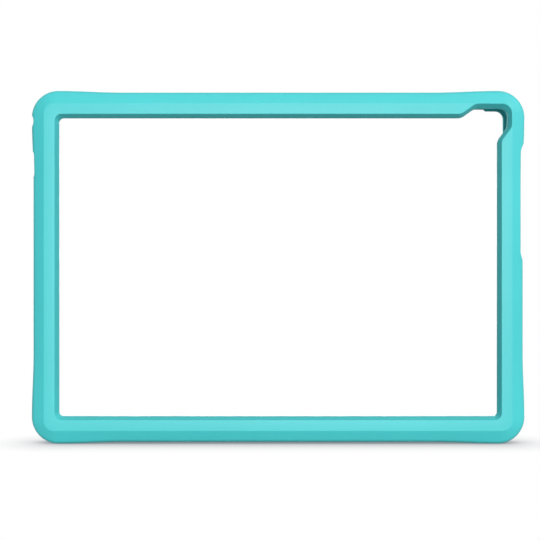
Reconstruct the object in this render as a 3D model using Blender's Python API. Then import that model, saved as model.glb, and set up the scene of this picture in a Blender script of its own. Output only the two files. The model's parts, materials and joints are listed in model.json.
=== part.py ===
"""Kids tablet bumper case: one frame moulded in soft silicone rubber, standing on a long side.

Metres, +Z up. The back of the case faces -Y and its top is at +Z. The origin is on the surface that the
case stands on, under the middle of its box.
"""

import math

import bmesh
import bpy
from mathutils import Vector

# The tablet that the case is made for, and the room that it has in its pocket.
TABLET_WIDTH = 0.2422
TABLET_HEIGHT = 0.1690
TABLET_THICKNESS = 0.0082
SIDE_CLEARANCE = 0.0004
THICKNESS_CLEARANCE = 0.0003
POCKET_CORNER_RADIUS = 0.0060

# The wall round the tablet, and the two lips that hold it.
WALL = 0.0065
REAR_LIP_THICKNESS = 0.0045
FRONT_LIP_THICKNESS = 0.0030

# The rear face: a flat band between a ridge and the opening, and a bevel that falls away to the side.
RIDGE_INSET = 0.00625
RIDGE_CORNER_RADIUS = 0.0052
REAR_BAND = 0.0056
REAR_BEVEL_ANGLE = math.radians(22)
REAR_ROUND = 0.0027
FRONT_ROUND = 0.0028
SIDE_CORNER_RADIUS = 0.0126

# The corners swell a little, so that the case lands on them.
CORNER_SWELL = 0.0009
SWELL_FLAT = 0.0040
SWELL_RAMP = 0.0320

# The rear opening: its edge is splayed, and ends in a plain land at the tablet.
OPENING_CORNER_RADIUS = 0.0036
LIP_SPLAY = 0.00165
LIP_LAND = 0.0012
LIP_EDGE_CHAMFER = 0.00025
LIP_RADIUS_LOSS = 0.0012

# The notch that clears the rear camera, at the upper corner on the +X side.
NOTCH_MARGIN = 0.0004
NOTCH_FOOT_LENGTH = 0.0203
NOTCH_TOP_LENGTH = 0.0127
NOTCH_FOOT_HEIGHT = 0.0138
NOTCH_SIDE_HEIGHT = 0.0077
NOTCH_CORNER_RADIUS = 0.0052
NOTCH_BEND_RADIUS = 0.0030
NOTCH_LIP_TOP = 0.0022
NOTCH_LIP_SIDE = 0.00135

# The front opening: the lip is slight along the sides and wider at each corner.
FRONT_LIP_SIDE = 0.0005
FRONT_LIP_CORNER = 0.0015
FRONT_TAB_WIDTH = 0.0178
FRONT_TAB_HEIGHT = 0.0220
FRONT_TAB_BEND_RADIUS = 0.0006
FRONT_OPENING_RADIUS = 0.0042
FRONT_CHAMFER = 0.0012

# The cut-outs in the side walls, at the pocket. From there each one opens out to its splays at the side.
# The buttons' window is at +X, and the jack's hole and the port's window are at -X.
BUTTON_WINDOW_LENGTH = 0.0578
BUTTON_WINDOW_HEIGHT = 0.0083
BUTTON_WINDOW_RADIUS = 0.0035
BUTTON_WINDOW_IN_POCKET = 0.0001
BUTTON_WINDOW_BELOW_TOP = 0.0571
BUTTON_WINDOW_REAR_SPLAY = 0.0028
BUTTON_WINDOW_FRONT_SPLAY = 0.0011
BUTTON_WINDOW_END_SPLAY = 0.0020
PORT_WINDOW_LENGTH = 0.0116
PORT_WINDOW_HEIGHT = 0.0066
PORT_WINDOW_RADIUS = 0.0009
PORT_WINDOW_IN_POCKET = 0.0004
PORT_WINDOW_BELOW_TOP = 0.0377
PORT_WINDOW_REAR_SPLAY = 0.0022
PORT_WINDOW_FRONT_SPLAY = 0.0010
PORT_WINDOW_END_SPLAY = 0.0010
JACK_HOLE_DIAMETER = 0.0060
JACK_HOLE_IN_POCKET = 0.0002
JACK_HOLE_BELOW_TOP = 0.0151
JACK_HOLE_REAR_SPLAY = 0.0019
JACK_HOLE_FRONT_SPLAY = 0.0005
JACK_HOLE_END_SPLAY = 0.0012
CUTTER_OVERSHOOT = 0.0020

# How finely the curves are divided.
SIDE_CORNER_STEPS = 14
RAMP_STEPS = 8
SECTION_STEPS = 6
OUTLINE_STEPS = 6
HOLE_STEPS = 8

MERGE_DISTANCE = 1e-7
SHARP_ANGLE = math.radians(25)

SILICONE_COLOUR = (110, 224, 225)
SILICONE_ROUGHNESS = 0.55

POCKET_WIDTH = TABLET_WIDTH + 2 * SIDE_CLEARANCE
POCKET_HEIGHT = TABLET_HEIGHT + 2 * SIDE_CLEARANCE
POCKET_DEPTH = TABLET_THICKNESS + THICKNESS_CLEARANCE
BODY_WIDTH = POCKET_WIDTH + 2 * WALL
BODY_HEIGHT = POCKET_HEIGHT + 2 * WALL
BODY_DEPTH = REAR_LIP_THICKNESS + POCKET_DEPTH + FRONT_LIP_THICKNESS
POCKET_START = REAR_LIP_THICKNESS
POCKET_END = POCKET_START + POCKET_DEPTH
CENTRE_Z = BODY_HEIGHT / 2 + CORNER_SWELL


def place(point, depth):
    """A point of an outline, given from the middle of the case, at a depth from its rear face."""
    return Vector((point[0], depth - BODY_DEPTH / 2, CENTRE_Z + point[1]))


def rectangle(inset, radius):
    """The corners of a rectangle that lies this far inside the side faces, anticlockwise."""
    x, z = BODY_WIDTH / 2 - inset, BODY_HEIGHT / 2 - inset
    return [(x, z, radius), (-x, z, radius), (-x, -z, radius), (x, -z, radius)]


def rounded(corners, steps):
    """The outline through the corners (x, z, radius), with each corner turned into an arc."""
    points = []
    for i, (x, z, radius) in enumerate(corners):
        corner = Vector((x, z))
        before = (Vector(corners[i - 1][:2]) - corner).normalized()
        after = (Vector(corners[(i + 1) % len(corners)][:2]) - corner).normalized()
        half = before.angle(after) / 2
        middle = corner + (before + after).normalized() * radius / math.sin(half)
        start = corner + before * radius / math.tan(half) - middle
        turn = (math.pi - 2 * half) * (1 if before.cross(after) < 0 else -1)
        for step in range(steps + 1):
            angle = turn * step / steps
            cos, sin = math.cos(angle), math.sin(angle)
            points.append(
                (middle.x + start.x * cos - start.y * sin, middle.y + start.x * sin + start.y * cos)
            )
    return points


def moved_in(corners, distances, radius_loss):
    """The corners after the edge that leaves each corner has moved in by its own distance.

    A corner that points out of the opening loses radius_loss, and one that points into it gains as much.
    """
    lines = []
    for i, (x, z, _) in enumerate(corners):
        start, end = Vector((x, z)), Vector(corners[(i + 1) % len(corners)][:2])
        along = (end - start).normalized()
        lines.append((start + Vector((-along.y, along.x)) * distances[i], along))
    moved = []
    for i, (_, _, radius) in enumerate(corners):
        (point, along), (other, other_along) = lines[i - 1], lines[i]
        turn = along.cross(other_along)
        x, z = point + along * ((other - point).cross(other_along) / turn)
        moved.append((x, z, radius - math.copysign(radius_loss, turn)))
    return moved


def swell(distance):
    """The share of the corner's swelling that is left at this distance along a side from its arc."""
    share = min(max((distance - SWELL_FLAT) / SWELL_RAMP, 0), 1)
    return (1 + math.cos(math.pi * share)) / 2


def side_ring(inset, radius, swell_share):
    """The rounded rectangle at this inset, swollen towards its corners by a share of CORNER_SWELL."""
    stations = [SWELL_FLAT + SWELL_RAMP * step / RAMP_STEPS for step in range(RAMP_STEPS + 1)]
    outline = []
    for quarter, (x, z, _) in enumerate(rectangle(inset + radius, 0)):
        centre = Vector((x, z))
        turns = [math.pi / 2 * (quarter + step / SIDE_CORNER_STEPS) for step in range(SIDE_CORNER_STEPS + 1)]
        spots = [(turns[0], -distance) for distance in reversed(stations)]
        spots += [(turn, 0) for turn in turns]
        spots += [(turns[-1], distance) for distance in stations]
        for turn, distance in spots:
            out = Vector((math.cos(turn), math.sin(turn)))
            along = Vector((-out.y, out.x))
            reach = radius + CORNER_SWELL * swell_share * swell(abs(distance))
            outline.append(tuple(centre + out * reach + along * distance))
    return outline


def loop(mesh, outline, depth):
    """A closed loop of edges along the outline."""
    verts = [mesh.verts.new(place(point, depth)) for point in outline]
    return [mesh.edges.new((verts[i - 1], verts[i])) for i in range(len(verts))]


def loft(mesh, loops):
    for first, second in zip(loops, loops[1:]):
        bmesh.ops.bridge_loops(mesh, edges=first + second)


def flat_ring(mesh, outer, inner):
    """The flat face between two loops at the same depth."""
    bmesh.ops.triangle_fill(mesh, edges=outer + inner, use_beauty=True)


def outer_section():
    """The outside of the section, from the ridge on the back to the edge of the front face.

    Each entry is (inset, depth, corner radius, share of the corners' swelling).
    """
    slope = math.sin(REAR_BEVEL_ANGLE)
    round_inset = REAR_ROUND * (1 - slope)
    round_start = (RIDGE_INSET - round_inset) * math.tan(REAR_BEVEL_ANGLE)
    section = [(RIDGE_INSET, 0)]
    for step in range(SECTION_STEPS + 1):
        angle = REAR_BEVEL_ANGLE + (math.pi / 2 - REAR_BEVEL_ANGLE) * step / SECTION_STEPS
        section.append((
            round_inset - REAR_ROUND * (math.sin(angle) - slope),
            round_start + REAR_ROUND * (math.cos(REAR_BEVEL_ANGLE) - math.cos(angle)),
        ))
    radius_loss = (SIDE_CORNER_RADIUS - RIDGE_CORNER_RADIUS) / RIDGE_INSET
    rear = [
        (inset, depth, SIDE_CORNER_RADIUS - inset * radius_loss, 1 - inset / RIDGE_INSET)
        for inset, depth in section
    ]
    front = []
    for step in range(SECTION_STEPS + 1):
        angle = math.pi / 2 * step / SECTION_STEPS
        inset = FRONT_ROUND * (1 - math.cos(angle))
        depth = BODY_DEPTH - FRONT_ROUND * (1 - math.sin(angle))
        front.append((inset, depth, SIDE_CORNER_RADIUS - inset, 1 - inset / RIDGE_INSET))
    return rear + front


def rear_opening():
    """The corners of the rear opening at the rear face, with the camera notch."""
    inset = RIDGE_INSET + REAR_BAND
    x, z = BODY_WIDTH / 2 - inset, BODY_HEIGHT / 2 - inset
    notch_x = BODY_WIDTH / 2 - RIDGE_INSET - NOTCH_MARGIN
    notch_z = BODY_HEIGHT / 2 - RIDGE_INSET - NOTCH_MARGIN
    return [
        (x, z - NOTCH_FOOT_HEIGHT, NOTCH_BEND_RADIUS),
        (notch_x, z - NOTCH_SIDE_HEIGHT, NOTCH_BEND_RADIUS),
        (notch_x, notch_z, NOTCH_CORNER_RADIUS),
        (x - NOTCH_TOP_LENGTH, notch_z, NOTCH_BEND_RADIUS),
        (x - NOTCH_FOOT_LENGTH, z, NOTCH_BEND_RADIUS),
        (-x, z, OPENING_CORNER_RADIUS),
        (-x, -z, OPENING_CORNER_RADIUS),
        (x, -z, OPENING_CORNER_RADIUS),
    ]


def rear_opening_loops(mesh):
    """The wall of the rear opening: a chamfered edge, the splay, and the land at the tablet."""
    edge = rear_opening()
    notch_inset = RIDGE_INSET + NOTCH_MARGIN
    splays = [LIP_SPLAY] * len(edge)
    splays[1] = WALL + NOTCH_LIP_SIDE - notch_inset
    splays[2] = WALL + NOTCH_LIP_TOP - notch_inset
    chamfer = [-LIP_EDGE_CHAMFER] * len(edge)
    splay_end = REAR_LIP_THICKNESS - LIP_LAND
    splayed = moved_in(edge, splays, LIP_RADIUS_LOSS)
    return [
        loop(mesh, rounded(moved_in(edge, chamfer, 0), OUTLINE_STEPS), 0),
        loop(mesh, rounded(edge, OUTLINE_STEPS), LIP_EDGE_CHAMFER),
        loop(mesh, rounded(splayed, OUTLINE_STEPS), splay_end),
        loop(mesh, rounded(splayed, OUTLINE_STEPS), REAR_LIP_THICKNESS),
    ]


def front_opening():
    """The corners of the front opening at the tablet, with a wider lip at each corner of the case."""
    side_x = POCKET_WIDTH / 2 - FRONT_LIP_SIDE
    side_z = POCKET_HEIGHT / 2 - FRONT_LIP_SIDE
    step = FRONT_LIP_CORNER - FRONT_LIP_SIDE
    tab_x = BODY_WIDTH / 2 - FRONT_TAB_WIDTH
    tab_z = BODY_HEIGHT / 2 - FRONT_TAB_HEIGHT
    quarter = [
        (side_x, tab_z - step, FRONT_TAB_BEND_RADIUS),
        (side_x - step, tab_z, FRONT_TAB_BEND_RADIUS),
        (side_x - step, side_z - step, FRONT_OPENING_RADIUS),
        (tab_x, side_z - step, FRONT_TAB_BEND_RADIUS),
        (tab_x - step, side_z, FRONT_TAB_BEND_RADIUS),
    ]
    corners = []
    for sign_x, sign_z in ((1, 1), (-1, 1), (-1, -1), (1, -1)):
        points = [(sign_x * x, sign_z * z, radius) for x, z, radius in quarter]
        corners += points if sign_x == sign_z else points[::-1]
    return corners


def front_opening_loops(mesh):
    """The wall of the front opening: a chamfer, and the land at the tablet."""
    edge = front_opening()
    face = moved_in(edge, [-FRONT_CHAMFER] * len(edge), 0)
    return [
        loop(mesh, rounded(face, OUTLINE_STEPS), BODY_DEPTH),
        loop(mesh, rounded(edge, OUTLINE_STEPS), BODY_DEPTH - FRONT_CHAMFER),
        loop(mesh, rounded(edge, OUTLINE_STEPS), BODY_DEPTH - FRONT_LIP_THICKNESS),
    ]


def finished(mesh, name):
    """The mesh data of a closed surface, with its faces pointing out."""
    bmesh.ops.remove_doubles(mesh, verts=mesh.verts, dist=MERGE_DISTANCE)
    bmesh.ops.recalc_face_normals(mesh, faces=mesh.faces)
    data = bpy.data.meshes.new(name)
    mesh.to_mesh(data)
    mesh.free()
    return data


def body_mesh():
    """The closed surface of the frame, before its side walls are cut."""
    mesh = bmesh.new()
    outside = [
        loop(mesh, side_ring(inset, radius, share), depth) for inset, depth, radius, share in outer_section()
    ]
    rear = rear_opening_loops(mesh)
    front = front_opening_loops(mesh)
    pocket_outline = rounded(rectangle(WALL, POCKET_CORNER_RADIUS), OUTLINE_STEPS)
    pocket = [loop(mesh, pocket_outline, depth) for depth in (POCKET_START, POCKET_END)]
    for loops in (outside, rear, front, pocket):
        loft(mesh, loops)
    flat_ring(mesh, outside[0], rear[0])
    flat_ring(mesh, pocket[0], rear[-1])
    flat_ring(mesh, outside[-1], front[0])
    flat_ring(mesh, pocket[-1], front[-1])
    return finished(mesh, "bumper_frame")


def cutter(
    name, side, below_top, length, height, radius, in_pocket, rear_splay, front_splay, end_splay, steps
):
    """A cutter through one side wall, splayed outwards. side is 1 at +X and -1 at -X.

    The length, height and radius are those at the pocket, and in_pocket is how far the cut-out starts
    in front of the rear lip there.
    """
    middle_z = BODY_HEIGHT / 2 - below_top
    rear = POCKET_START + in_pocket
    front = rear + height
    mesh = bmesh.new()
    outside, inside = -CORNER_SWELL - CUTTER_OVERSHOOT, WALL + CUTTER_OVERSHOOT
    loops = []
    for inset, splayed in ((outside, 1), (0, 1), (WALL, 0), (inside, 0)):
        half_length = length / 2 + splayed * end_splay
        start, end = rear - splayed * rear_splay, front + splayed * front_splay
        corner_radius = radius + splayed * end_splay
        corners = [
            (half_length, end, corner_radius),
            (-half_length, end, corner_radius),
            (-half_length, start, corner_radius),
            (half_length, start, corner_radius),
        ]
        x = side * (BODY_WIDTH / 2 - inset)
        verts = [mesh.verts.new(place((x, middle_z + z), depth)) for z, depth in rounded(corners, steps)]
        loops.append([mesh.edges.new((verts[i - 1], verts[i])) for i in range(len(verts))])
    loft(mesh, loops)
    bmesh.ops.holes_fill(mesh, edges=mesh.edges[:], sides=0)
    shape = bpy.data.objects.new(name, finished(mesh, name))
    shape.hide_render = True
    shape.display_type = "WIRE"
    return shape


def cut_outs():
    return [
        cutter(
            "button_window", 1, BUTTON_WINDOW_BELOW_TOP, BUTTON_WINDOW_LENGTH, BUTTON_WINDOW_HEIGHT,
            BUTTON_WINDOW_RADIUS, BUTTON_WINDOW_IN_POCKET, BUTTON_WINDOW_REAR_SPLAY,
            BUTTON_WINDOW_FRONT_SPLAY, BUTTON_WINDOW_END_SPLAY, OUTLINE_STEPS,
        ),
        cutter(
            "port_window", -1, PORT_WINDOW_BELOW_TOP, PORT_WINDOW_LENGTH, PORT_WINDOW_HEIGHT,
            PORT_WINDOW_RADIUS, PORT_WINDOW_IN_POCKET, PORT_WINDOW_REAR_SPLAY,
            PORT_WINDOW_FRONT_SPLAY, PORT_WINDOW_END_SPLAY, OUTLINE_STEPS,
        ),
        cutter(
            "jack_hole", -1, JACK_HOLE_BELOW_TOP, JACK_HOLE_DIAMETER, JACK_HOLE_DIAMETER,
            JACK_HOLE_DIAMETER / 2, JACK_HOLE_IN_POCKET, JACK_HOLE_REAR_SPLAY,
            JACK_HOLE_FRONT_SPLAY, JACK_HOLE_END_SPLAY, HOLE_STEPS,
        ),
    ]


def silicone():
    material = bpy.data.materials.new("silicone_rubber")
    material.use_nodes = True
    shader = material.node_tree.nodes["Principled BSDF"]
    linear = [((level / 255 + 0.055) / 1.055) ** 2.4 for level in SILICONE_COLOUR]
    shader.inputs["Base Color"].default_value = (*linear, 1)
    shader.inputs["Roughness"].default_value = SILICONE_ROUGHNESS
    shader.inputs["Metallic"].default_value = 0
    return material


def main():
    for existing in list(bpy.data.objects):
        bpy.data.objects.remove(existing)
    parts = bpy.data.collections.new("kids_tablet_bumper_case")
    cutters = bpy.data.collections.new("cutters")
    for collection in (parts, cutters):
        bpy.context.scene.collection.children.link(collection)

    frame = bpy.data.objects.new("bumper_frame", body_mesh())
    frame.data.materials.append(silicone())
    parts.objects.link(frame)
    for shape in cut_outs():
        cutters.objects.link(shape)
        cut = frame.modifiers.new(shape.name, "BOOLEAN")
        cut.operation = "DIFFERENCE"
        cut.solver = "EXACT"
        cut.object = shape

    frame.data.shade_smooth()
    frame.data.set_sharp_from_angle(angle=SHARP_ANGLE)


main()
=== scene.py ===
import json
from math import copysign, cos, pi, radians, sin, tan

import bmesh
import bpy
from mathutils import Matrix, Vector

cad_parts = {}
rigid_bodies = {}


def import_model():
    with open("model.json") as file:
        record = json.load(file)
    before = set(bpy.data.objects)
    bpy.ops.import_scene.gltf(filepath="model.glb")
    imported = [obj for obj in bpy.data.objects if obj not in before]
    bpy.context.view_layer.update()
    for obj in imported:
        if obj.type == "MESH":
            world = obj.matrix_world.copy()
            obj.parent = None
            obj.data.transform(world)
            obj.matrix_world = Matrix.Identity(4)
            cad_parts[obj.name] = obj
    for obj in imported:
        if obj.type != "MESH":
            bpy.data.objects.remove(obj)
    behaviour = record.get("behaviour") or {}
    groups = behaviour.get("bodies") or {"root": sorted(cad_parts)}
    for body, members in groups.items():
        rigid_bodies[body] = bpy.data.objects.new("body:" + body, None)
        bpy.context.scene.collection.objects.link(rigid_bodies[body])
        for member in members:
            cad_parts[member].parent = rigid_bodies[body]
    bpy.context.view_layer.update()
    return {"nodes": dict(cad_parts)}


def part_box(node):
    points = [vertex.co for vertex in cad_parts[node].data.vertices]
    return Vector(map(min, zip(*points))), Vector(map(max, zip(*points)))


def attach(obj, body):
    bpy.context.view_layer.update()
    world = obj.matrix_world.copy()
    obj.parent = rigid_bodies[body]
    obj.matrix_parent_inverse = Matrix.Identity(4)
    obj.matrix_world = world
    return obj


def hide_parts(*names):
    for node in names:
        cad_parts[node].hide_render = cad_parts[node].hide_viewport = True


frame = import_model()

mm = 0.001


def deselectAll():
    for thing in bpy.context.view_layer.objects:
        thing.select_set(False)


deselectAll()
print("frame loaded:", sorted(frame["nodes"]))

# the case is skinned over rings of vertices, each ring with its own number
firstRing = 1                        # 0 is for vertices that have no ring yet
sameSpot = 0.001 * mm                # places closer than this are taken for one
beyond = 1 * mm                      # a section's end points only give it direction, from this far off
quarters = ((1, 1), (-1, 1), (-1, -1), (1, -1))  # right and up of the four corners, in turn


def startRings():  # an empty mesh in edit mode, with a layer for the ring numbers
    bpy.ops.mesh.primitive_plane_add(size=mm)
    bpy.ops.object.mode_set(mode="EDIT")
    bpy.context.tool_settings.mesh_select_mode = (True, False, False)
    bpy.ops.mesh.delete(type="VERT")
    bmesh.from_edit_mesh(bpy.context.object.data).verts.layers.int.new("ring")
    return bpy.context.object


def pick(chosen):  # select the vertices that the test chooses by place and ring number
    mesh = bpy.context.edit_object.data
    picked = bmesh.from_edit_mesh(mesh)
    layer = picked.verts.layers.int.get("ring")
    for vert in picked.verts:
        vert.select = chosen(vert.co, vert[layer])
    picked.select_flush_mode()
    bmesh.update_edit_mesh(mesh)


def numberNew(number):  # the vertices that an operator has just made join this ring
    mesh = bpy.context.edit_object.data
    made = bmesh.from_edit_mesh(mesh)
    layer = made.verts.layers.int.get("ring")
    for vert in made.verts:
        if vert[layer] == 0:
            vert[layer] = number


def addRing(number, corners, spot):
    # a circle with one vertex for each corner (a, b, radius, steps): the vertices are moved to the
    # corners, at the place that spot(a, b) gives, and bevelled into arcs
    bpy.ops.mesh.primitive_circle_add(vertices=len(corners), radius=mm, fill_type="NOTHING")
    mesh = bpy.context.edit_object.data
    circle = bmesh.from_edit_mesh(mesh)
    for vert, (a, b, _, _) in zip([v for v in circle.verts if v.select], corners):
        vert.co = spot(a, b)
    bmesh.update_edit_mesh(mesh)
    numberNew(number)
    for i, (a, b, radius, steps) in enumerate(corners):
        corner, place = Vector((a, b)), Vector(spot(a, b))
        before = (Vector(corners[i - 1][:2]) - corner).normalized()
        after = (Vector(corners[(i + 1) % len(corners)][:2]) - corner).normalized()
        pick(lambda co, ring: ring == number and (co - place).length < sameSpot)
        bpy.ops.mesh.bevel(
            offset=radius / tan(before.angle(after) / 2), segments=steps, affect="VERTICES",
            clamp_overlap=False,
        )
    numberNew(number)


def sweep(first, section, makeRing):
    # a ring for each point (offset, depth) of the section, numbered from first, and faces from each
    # ring to the next; gives the number of the last one
    for i, (offset, depth) in enumerate(section):
        makeRing(first + i, offset, depth)
    last = first + len(section) - 1
    for number in range(first, last):
        pick(lambda co, ring: ring in (number, number + 1))
        bpy.ops.mesh.bridge_edge_loops()
    return last


def fillBetween(first, second):
    pick(lambda co, ring: ring in (first, second))
    bpy.ops.mesh.fill(use_beauty=True)


def softened(points):
    # the section line through the points (a, b, radius, steps), with each inner point made an arc
    line = []
    for before, (a, b, radius, steps), after in zip(points, points[1:], points[2:]):
        corner = Vector((a, b))
        back = (Vector(before[:2]) - corner).normalized()
        on = (Vector(after[:2]) - corner).normalized()
        half = back.angle(on) / 2
        centre = corner + (back + on).normalized() * radius / sin(half)
        start = corner + back * radius / tan(half) - centre
        turn = (pi - 2 * half) * (1 if back.cross(on) < 0 else -1)
        for step in range(steps + 1):
            angle = turn * step / steps
            line.append((
                centre.x + start.x * cos(angle) - start.y * sin(angle),
                centre.y + start.x * sin(angle) + start.y * cos(angle),
            ))
    return line


def movedIn(corners, distances, radiusLosses):
    # the corners after the edge that leaves each one has moved in by its own distance; a corner that
    # points out of the opening loses its share of radius, and one that points into it gains as much
    lines = []
    for i, (a, b, _, _) in enumerate(corners):
        start, end = Vector((a, b)), Vector(corners[(i + 1) % len(corners)][:2])
        run = (end - start).normalized()
        lines.append((start + Vector((-run.y, run.x)) * distances[i], run))
    moved = []
    for i, (_, _, radius, steps) in enumerate(corners):
        (point, run), (other, otherRun) = lines[i - 1], lines[i]
        turn = run.cross(otherRun)
        a, b = point + run * ((other - point).cross(otherRun) / turn)
        moved.append((a, b, radius - radiusLosses[i] * copysign(1, turn), steps))
    return moved


# the case: one frame, moulded in silicone rubber round a 10.1 inch tablet
case = {
    "wall": 6.5 * mm,                # from the side of the case to the pocket
    "rearLip": 4.5 * mm,             # thickness of the lip on the back
    "frontLip": 3.0 * mm,
    "pocketRadius": 6.0 * mm,
    "ridgeInset": 6.25 * mm,         # from the side to the ridge on the back
    "ridgeRadius": 5.2 * mm,
    "bevelAngle": radians(22),
    "ridgeRound": (0.7 * mm, 4),     # rounds, bends and corners in brackets: radius, steps of the arc
    "rearRound": (2.7 * mm, 9),
    "frontRound": (2.8 * mm, 9),
    "pocketRound": (0.25 * mm, 3),   # left by the mould, inside
    "cornerRadius": 13.1 * mm,
    "cornerSteps": 24,
    "sideCuts": 57,                  # vertices along each straight side, for the swell to bend
    "swell": 0.9 * mm,               # the corners stand this far proud of the sides
    "swellFlat": 1.5 * mm,           # they do so for this much of each side too
    "swellRamp": 33.0 * mm,          # and slope back to the side over this much more
    "smoothAngle": radians(30),      # edges that turn by more than this stay sharp
}
low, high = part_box("bumper_frame")
middle = (low + high) / 2
case["halfWidth"] = (high.x - low.x) / 2 - case["swell"]
case["halfHeight"] = (high.z - low.z) / 2 - case["swell"]
case["depth"] = high.y - low.y


def atDepth(depth):  # gives places this deep from the case's back, as right and up from its middle
    return lambda right, up: (middle.x + right, low.y + depth, middle.z + up)


def addRectangle(number, x, z, radius, depth):
    corners = [(right * x, up * z, radius, case["cornerSteps"]) for right, up in quarters]
    addRing(number, corners, atDepth(depth))


def addCaseRing(number, inset, depth):
    # a rounded rectangle at this inset and depth, whose corners swell a little outwards
    x, z = case["halfWidth"] - inset, case["halfHeight"] - inset
    loss = (case["cornerRadius"] - case["ridgeRadius"]) / case["ridgeInset"]
    radius = case["cornerRadius"] - inset * (loss if depth < case["depth"] / 2 else 1)
    addRectangle(number, x, z, radius, depth)

    def arcEnd(co):
        sideways, upwards = abs(co.x - middle.x), abs(co.z - middle.z)
        return min(abs(sideways - x + radius), abs(upwards - z + radius)) < sameSpot

    pick(lambda co, ring: ring == number and arcEnd(co))
    bpy.ops.mesh.subdivide(number_cuts=case["sideCuts"])
    numberNew(number)
    swell = case["swell"] * max(0, 1 - inset / case["ridgeInset"])
    if swell == 0:
        return
    for right, up in quarters:
        centre = Vector((middle.x + right * (x - radius), low.y + depth, middle.z + up * (z - radius)))

        def nearCorner(co):
            reach = min((co.x - centre.x) * right, (co.z - centre.z) * up)
            return reach > -case["swellFlat"]

        pick(lambda co, ring: ring == number and nearCorner(co))
        bpy.ops.transform.resize(
            value=(1 + swell / radius, 1, 1 + swell / radius), center_override=centre,
            use_proportional_edit=True, use_proportional_connected=True,
            proportional_edit_falloff="SMOOTH", proportional_size=case["swellRamp"],
        )


siliconeFrame = startRings()
siliconeFrame.name = "silicone_frame"

# outside, as (inset, depth): flat band, ridge, bevel, round side, round front edge
outside = softened([
    (case["ridgeInset"] + beyond, 0),
    (case["ridgeInset"], 0, *case["ridgeRound"]),
    (0, case["ridgeInset"] * tan(case["bevelAngle"]), *case["rearRound"]),
    (0, case["depth"], *case["frontRound"]),
    (case["ridgeInset"] + beyond, case["depth"]),
])
outsideEnd = sweep(firstRing, outside, addCaseRing)
print("outside made, rings:", len(outside))

# the rear opening, with the notch that clears the tablet's camera
opening = {
    "bandWidth": 5.6 * mm,           # flat band between the ridge and the opening
    "corner": (3.6 * mm, 12),
    "splay": 1.65 * mm,              # its wall leans in by this much, then ends in a plain land
    "land": 0.8 * mm,
    "radiusLoss": 1.2 * mm,          # its corners are tighter at the tablet
    "edgeRound": (0.15 * mm, 4),
    "landRound": (0.15 * mm, 3),
    "notchMargin": 0.28 * mm,        # between the notch and the ridge
    "notchFootLength": 20.9 * mm,    # the notch's four bends, along and down from the plain corner
    "notchTopLength": 13.5 * mm,
    "notchFootHeight": 14.0 * mm,
    "notchSideHeight": 6.8 * mm,
    "notchCorner": (5.2 * mm, 12),
    "notchBend": (4.5 * mm, 12),
    "notchBendGain": 2.0 * mm,       # but the notch's upper bend is wider at the tablet
    "notchLipTop": 2.0 * mm,         # the lip's width at the tablet, along the notch
    "notchLipSide": 1.65 * mm,
}
bandInset = case["ridgeInset"] + opening["bandWidth"]
edgeX, edgeZ = case["halfWidth"] - bandInset, case["halfHeight"] - bandInset
notchInset = case["ridgeInset"] + opening["notchMargin"]
notchX, notchZ = case["halfWidth"] - notchInset, case["halfHeight"] - notchInset
openingEdge = [
    (edgeX, edgeZ - opening["notchFootHeight"], *opening["notchBend"]),
    (notchX, edgeZ - opening["notchSideHeight"], *opening["notchBend"]),
    (notchX, notchZ, *opening["notchCorner"]),
    (edgeX - opening["notchTopLength"], notchZ, *opening["notchBend"]),
    (edgeX - opening["notchFootLength"], edgeZ, *opening["notchBend"]),
    (-edgeX, edgeZ, *opening["corner"]),
    (-edgeX, -edgeZ, *opening["corner"]),
    (edgeX, -edgeZ, *opening["corner"]),
]
notchSide, notchTop, upperBend = 1, 2, 3  # places in openingEdge: an edge goes by its first corner
splays = [opening["splay"]] * len(openingEdge)
splays[notchSide] = case["wall"] + opening["notchLipSide"] - notchInset
splays[notchTop] = case["wall"] + opening["notchLipTop"] - notchInset
radiusLosses = [opening["radiusLoss"]] * len(openingEdge)
radiusLosses[upperBend] = -opening["notchBendGain"]
splayEnd = case["rearLip"] - opening["land"]
openingSection = softened([
    (-beyond, 0),
    (0, 0, *opening["edgeRound"]),
    (opening["splay"], splayEnd, *opening["landRound"]),
    (opening["splay"], case["rearLip"], *case["pocketRound"]),
    (0, case["rearLip"]),
])


def addOpeningRing(number, offset, depth):
    # the round at the back starts outside the opening's line by as much on all edges, and the wall
    # inside it leans in by each edge's own splay
    share = max(0, offset / opening["splay"])
    distances = [share * splay if offset > 0 else offset for splay in splays]
    corners = movedIn(openingEdge, distances, [share * loss for loss in radiusLosses])
    addRing(number, corners, atDepth(depth))


openingStart = outsideEnd + 1
openingEnd = sweep(openingStart, openingSection, addOpeningRing)
print("rear opening made, rings:", len(openingSection))

# the pocket that the tablet sits in
pocketFront = case["depth"] - case["frontLip"]
pocket = softened([
    (case["wall"] + beyond, case["rearLip"]),
    (case["wall"], case["rearLip"], *case["pocketRound"]),
    (case["wall"], pocketFront, *case["pocketRound"]),
    (case["wall"] + beyond, pocketFront),
])


def addPocketRing(number, inset, depth):
    radius = case["pocketRadius"] - (inset - case["wall"])
    addRectangle(number, case["halfWidth"] - inset, case["halfHeight"] - inset, radius, depth)


pocketStart = openingEnd + 1
pocketEnd = sweep(pocketStart, pocket, addPocketRing)
print("pocket made, rings:", len(pocket))

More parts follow.
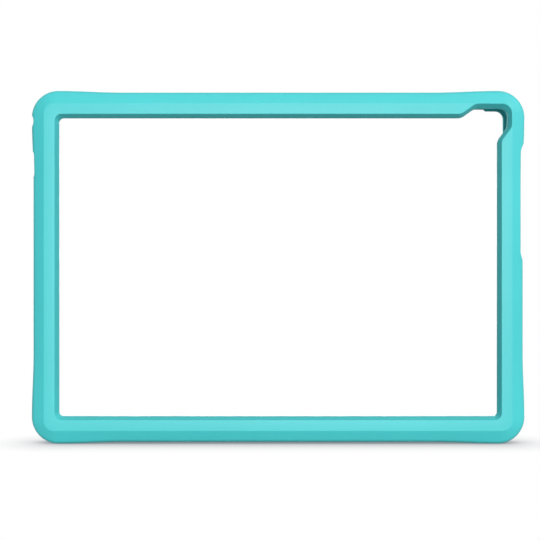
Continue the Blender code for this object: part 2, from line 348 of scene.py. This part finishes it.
# the front opening: a slight lip along the sides, and a wider one at each corner
front = {
    "lipSide": 0.5 * mm,
    "lipCorner": 1.5 * mm,
    "tabWidth": 17.4 * mm,           # the wider lip's reach, from the side of the case
    "tabHeight": 22.0 * mm,          # and from its top or bottom
    "bend": (0.6 * mm, 4),
    "corner": (4.2 * mm, 12),
    "chamfer": 1.2 * mm,
    "edgeRound": (0.5 * mm, 3),
    "lipRound": (0.12 * mm, 2),
}
sideX = case["halfWidth"] - case["wall"] - front["lipSide"]
sideZ = case["halfHeight"] - case["wall"] - front["lipSide"]
widening = front["lipCorner"] - front["lipSide"]
tabX, tabZ = case["halfWidth"] - front["tabWidth"], case["halfHeight"] - front["tabHeight"]
quarterEdge = [
    (sideX, tabZ - widening, *front["bend"]),
    (sideX - widening, tabZ, *front["bend"]),
    (sideX - widening, sideZ - widening, *front["corner"]),
    (tabX, sideZ - widening, *front["bend"]),
    (tabX - widening, sideZ, *front["bend"]),
]
frontEdge = []
for right, up in quarters:
    corners = [(right * x, up * z, radius, steps) for x, z, radius, steps in quarterEdge]
    frontEdge += corners if right == up else corners[::-1]  # a mirror image runs the other way round
frontSection = softened([
    (-front["chamfer"] - beyond, case["depth"]),
    (-front["chamfer"], case["depth"], *front["edgeRound"]),
    (0, case["depth"] - front["chamfer"], *front["edgeRound"]),
    (0, pocketFront, *front["lipRound"]),
    (-front["lipSide"], pocketFront),
])


def addFrontRing(number, offset, depth):
    corners = movedIn(frontEdge, [offset] * len(frontEdge), [0] * len(frontEdge))
    addRing(number, corners, atDepth(depth))


frontStart = pocketEnd + 1
frontEnd = sweep(frontStart, frontSection, addFrontRing)
print("front opening made, rings:", len(frontSection))

# the flat faces that join these four surfaces
fillBetween(firstRing, openingStart)
fillBetween(openingEnd, pocketStart)
fillBetween(pocketEnd, frontEnd)
fillBetween(outsideEnd, frontStart)
bpy.ops.mesh.select_all(action="SELECT")
bpy.ops.mesh.normals_make_consistent(inside=False)
bpy.ops.mesh.select_all(action="DESELECT")
bpy.ops.object.mode_set(mode="OBJECT")

# what is cut through the side walls, with its size at the pocket, from where it splays out to the side:
# side is 1 at the camera's right, belowTop goes from the case's top side down to the cut-out's middle,
# and height is measured through the case's depth, from inPocket in front of the rear lip
cutOuts = {
    "button_window": {               # the tablet's buttons and card tray
        "side": 1, "belowTop": 57.4 * mm, "length": 58.6 * mm, "height": 8.3 * mm, "radius": 3.5 * mm,
        "inPocket": 0.1 * mm, "rearSplay": 3.6 * mm, "frontSplay": 1.1 * mm, "endSplay": 2.8 * mm,
    },
    "port_window": {                 # the charging port
        "side": -1, "belowTop": 37.7 * mm, "length": 11.6 * mm, "height": 6.6 * mm, "radius": 0.9 * mm,
        "inPocket": 0.4 * mm, "rearSplay": 2.8 * mm, "frontSplay": 1.0 * mm, "endSplay": 1.0 * mm,
    },
    "jack_hole": {                   # the audio jack
        "side": -1, "belowTop": 15.1 * mm, "length": 6.0 * mm, "height": 6.0 * mm, "radius": 3.0 * mm,
        "inPocket": 0.2 * mm, "rearSplay": 2.7 * mm, "frontSplay": 0.5 * mm, "endSplay": 1.2 * mm,
    },
}
cutSteps = 10                        # in each corner's arc
overshoot = 2 * mm                   # the cutters reach this far past the wall, on both sides
cutSection = (                       # inset, and how much of the splay there is
    (-case["swell"] - overshoot, 1), (0, 1), (case["wall"], 0), (case["wall"] + overshoot, 0),
)


def addCutRing(cut, number, inset, share):
    halfLength = cut["length"] / 2 + share * cut["endSplay"]
    rear = low.y + case["rearLip"] + cut["inPocket"]
    start, end = rear - share * cut["rearSplay"], rear + cut["height"] + share * cut["frontSplay"]
    z = middle.z + case["halfHeight"] - cut["belowTop"]
    x = middle.x + cut["side"] * (case["halfWidth"] - inset)
    radius = cut["radius"] + share * cut["endSplay"]
    corners = [
        (end, z + halfLength, radius, cutSteps), (start, z + halfLength, radius, cutSteps),
        (start, z - halfLength, radius, cutSteps), (end, z - halfLength, radius, cutSteps),
    ]
    addRing(number, corners, lambda a, b: (x, a, b))


for name, cut in cutOuts.items():
    deselectAll()
    cutter = startRings()
    lastRing = sweep(firstRing, cutSection, lambda *ring: addCutRing(cut, *ring))
    for endRing in (firstRing, lastRing):
        pick(lambda co, ring: ring == endRing)
        bpy.ops.mesh.edge_face_add()
    bpy.ops.mesh.select_all(action="SELECT")
    bpy.ops.mesh.remove_doubles(threshold=sameSpot)  # two arcs of the jack hole end on one spot
    bpy.ops.mesh.normals_make_consistent(inside=False)
    bpy.ops.object.mode_set(mode="OBJECT")
    deselectAll()
    bpy.context.view_layer.objects.active = siliconeFrame
    siliconeFrame.select_set(True)
    boolean = siliconeFrame.modifiers.new(name, "BOOLEAN")
    boolean.operation, boolean.solver, boolean.object = "DIFFERENCE", "EXACT", cutter
    bpy.ops.object.modifier_apply(modifier=boolean.name)
    bpy.data.objects.remove(cutter)
    print("cut:", name)

siliconeFrame.data.attributes.remove(siliconeFrame.data.attributes["ring"])
bpy.ops.object.shade_smooth_by_angle(angle=case["smoothAngle"])
print("silicone frame made, faces:", len(siliconeFrame.data.polygons))

white = (1, 1, 1, 1)

# a Mix node's sockets by number, because those for colours and those for numbers share their names
colourMix = {"factor": 0, "first": 6, "second": 7, "result": 2}
numberMix = {"factor": 0, "first": 2, "second": 3, "result": 0}


def linear(hexColour):  # sRGB hex to the linear colour that the shaders take
    channels = [int(hexColour[i:i + 2], 16) / 255 for i in (1, 3, 5)]
    return [c / 12.92 if c <= 0.04045 else ((c + 0.055) / 1.055) ** 2.4 for c in channels] + [1]


def addNode(tree, kind, settings=None, links=None):
    # a node with its settings, each a property or an input's value, and what is linked to its inputs;
    # an input goes by its name, or by its number where names repeat
    node = tree.nodes.new(kind)
    for name, value in (settings or {}).items():
        if isinstance(name, str) and hasattr(node, name):
            setattr(node, name, value)
        else:
            node.inputs[name].default_value = value
    for name, source in (links or {}).items():
        tree.links.new(source, node.inputs[name])
    return node


def emptyMaterial(name):
    material = bpy.data.materials.new(name)
    material.use_nodes = True
    material.node_tree.nodes.clear()
    return material


# silicone rubber, compression moulded in a blasted steel mould: a satin skin with no grain of its own,
# a fine even tooth from the mould, and a little light that passes through its thin edges
siliconeFinish = {
    "paler": "#4FD6D9",
    "deeper": "#49CED1",
    "clouding": 45 * mm,             # how far apart the mix's faint pale and deep areas are
    "tooth": 0.35 * mm,              # blasting grit, drawn coarser than the real 0.1 mm
    "toothHeight": 0.012 * mm,
    "edgeSoftness": 0.25 * mm,       # no edge of the mould is quite sharp
    "edgeSamples": 8,
    "roughness": 0.48,
    "ior": 1.45,
    "subsurface": 0.04,
    "subsurfaceReach": 1.0 * mm,
    "subsurfaceColours": (0.6, 1.0, 1.0),  # red light gets less far through aqua rubber
}


def mouldedSilicone():
    material = emptyMaterial("moulded_silicone_rubber")
    tree = material.node_tree
    place = addNode(tree, "ShaderNodeTexCoord").outputs["Object"]
    clouds = addNode(tree, "ShaderNodeTexNoise", {
        "Scale": 1 / siliconeFinish["clouding"], "Detail": 2.0, "Roughness": 0.5,
    }, {"Vector": place})
    colour = addNode(tree, "ShaderNodeMix", {
        "data_type": "RGBA",
        colourMix["first"]: linear(siliconeFinish["deeper"]),
        colourMix["second"]: linear(siliconeFinish["paler"]),
    }, {colourMix["factor"]: clouds.outputs["Fac"]})
    tooth = addNode(tree, "ShaderNodeTexNoise", {
        "Scale": 1 / siliconeFinish["tooth"], "Detail": 3.0, "Roughness": 0.6,
    }, {"Vector": place})
    softEdge = addNode(tree, "ShaderNodeBevel", {
        "samples": siliconeFinish["edgeSamples"], "Radius": siliconeFinish["edgeSoftness"],
    })
    relief = addNode(tree, "ShaderNodeBump", {
        "Strength": 1.0, "Distance": siliconeFinish["toothHeight"],
    }, {"Height": tooth.outputs["Fac"], "Normal": softEdge.outputs["Normal"]})
    skin = addNode(tree, "ShaderNodeBsdfPrincipled", {
        "Roughness": siliconeFinish["roughness"],
        "IOR": siliconeFinish["ior"],
        "Subsurface Weight": siliconeFinish["subsurface"],
        "Subsurface Radius": siliconeFinish["subsurfaceColours"],
        "Subsurface Scale": siliconeFinish["subsurfaceReach"],
    }, {"Base Color": colour.outputs[colourMix["result"]], "Normal": relief.outputs["Normal"]})
    addNode(tree, "ShaderNodeOutputMaterial", {}, {"Surface": skin.outputs["BSDF"]})
    return material


siliconeFrame.data.materials.clear()
siliconeFrame.data.materials.append(mouldedSilicone())
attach(siliconeFrame, "root")
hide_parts("bumper_frame")
print("silicone set")

# the stage: white paper, of which only the shadow close to the case shows
stage = {
    "paperSize": 6.0,                # metres
    "paper": "#7B7B7B",              # what the paper sends back up to the case
    "shadow": "#7C888E",             # the shadow where the case meets the paper
    "shadowReach": 26 * mm,
    "shadowSamples": 32,
    "ambient": 0.05,                 # the white world's strength, as it lights the case
    "lampDistance": 4.0,             # metres
}


def seenDirectly(tree):
    # 1 for what the camera sees, also in a gloss or through glass, and 0 for what lights the case
    path = addNode(tree, "ShaderNodeLightPath")
    glossOrGlass = addNode(tree, "ShaderNodeMath", {"operation": "MAXIMUM"}, {
        0: path.outputs["Is Glossy Ray"], 1: path.outputs["Is Transmission Ray"],
    })
    return addNode(tree, "ShaderNodeMath", {"operation": "MAXIMUM"}, {
        0: path.outputs["Is Camera Ray"], 1: glossOrGlass.outputs[0],
    }).outputs[0]


def whitePaper():
    # the camera sees it pure white, darkened by the case that stands close over it
    material = emptyMaterial("white_paper")
    tree = material.node_tree
    nearness = addNode(tree, "ShaderNodeAmbientOcclusion", {
        "Distance": stage["shadowReach"], "samples": stage["shadowSamples"],
    })
    shade = addNode(tree, "ShaderNodeMix", {
        "data_type": "RGBA", colourMix["first"]: linear(stage["shadow"]), colourMix["second"]: white,
    }, {colourMix["factor"]: nearness.outputs["AO"]})
    shown = addNode(tree, "ShaderNodeEmission", {"Strength": 1.0}, {
        "Color": shade.outputs[colourMix["result"]],
    })
    paper = addNode(tree, "ShaderNodeBsdfDiffuse", {"Color": linear(stage["paper"])})
    choice = addNode(tree, "ShaderNodeMixShader", {}, {
        "Fac": seenDirectly(tree), 1: paper.outputs["BSDF"], 2: shown.outputs["Emission"],
    })
    addNode(tree, "ShaderNodeOutputMaterial", {}, {"Surface": choice.outputs["Shader"]})
    return material


deselectAll()
bpy.ops.mesh.primitive_plane_add(size=stage["paperSize"], location=(0, 0, 0))
floor = bpy.context.object
floor.name = "paper_floor"
floor.data.materials.append(whitePaper())

world = bpy.data.worlds.new("studio")
bpy.context.scene.world = world
world.use_nodes = True
tree = world.node_tree
tree.nodes.clear()
strength = addNode(tree, "ShaderNodeMix", {
    "data_type": "FLOAT", numberMix["first"]: stage["ambient"], numberMix["second"]: 1.0,
}, {numberMix["factor"]: seenDirectly(tree)})
sky = addNode(tree, "ShaderNodeBackground", {"Color": white}, {
    "Strength": strength.outputs[numberMix["result"]],
})
addNode(tree, "ShaderNodeOutputWorld", {}, {"Surface": sky.outputs["Background"]})

# soft lamps, all at lampDistance: watts, width in metres, degrees to the camera's right, degrees up
lamps = {
    "key_softbox": (100, 0.85, 2, 5.5),
    "upper_right_softbox": (60, 1.67, 45, 30),
    "upper_front_softbox": (16, 1.67, 0, 48),
    "back_softbox": (105, 1.67, 180, 12),  # for the side that the camera doesn't see
}
for name, (power, width, right, up) in lamps.items():
    light = bpy.data.lights.new(name, "AREA")
    light.energy, light.size = power, width
    lamp = bpy.data.objects.new(name, light)
    away = Vector((
        sin(radians(right)) * cos(radians(up)), -cos(radians(right)) * cos(radians(up)), sin(radians(up)),
    ))
    lamp.location = middle + away * stage["lampDistance"]
    lamp.rotation_euler = away.to_track_quat("Z", "Y").to_euler()
    bpy.context.scene.collection.objects.link(lamp)

# the camera: level, square on to the back of the case, half a metre away
view = {
    "distance": 500 * mm,            # from the back of the case
    "frameWidth": 280.4 * mm,        # what the picture takes in at the back of the case
    "aside": -4.24 * mm,             # to the right of the case's middle, so a little to its left
    "below": 12.2 * mm,              # and below it
    "shift": 0.038,                  # of the lens, upwards, in picture widths
}
cameraData = bpy.data.cameras.new("camera")
cameraData.lens = cameraData.sensor_width * view["distance"] / view["frameWidth"]
cameraData.shift_y = view["shift"]
camera = bpy.data.objects.new("camera", cameraData)
camera.location = (middle.x + view["aside"], low.y - view["distance"], middle.z - view["below"])
camera.rotation_euler = (pi / 2, 0, 0)
bpy.context.scene.collection.objects.link(camera)
bpy.context.scene.camera = camera
bpy.context.scene.view_settings.view_transform = "Standard"
print("stage, lamps and camera set")
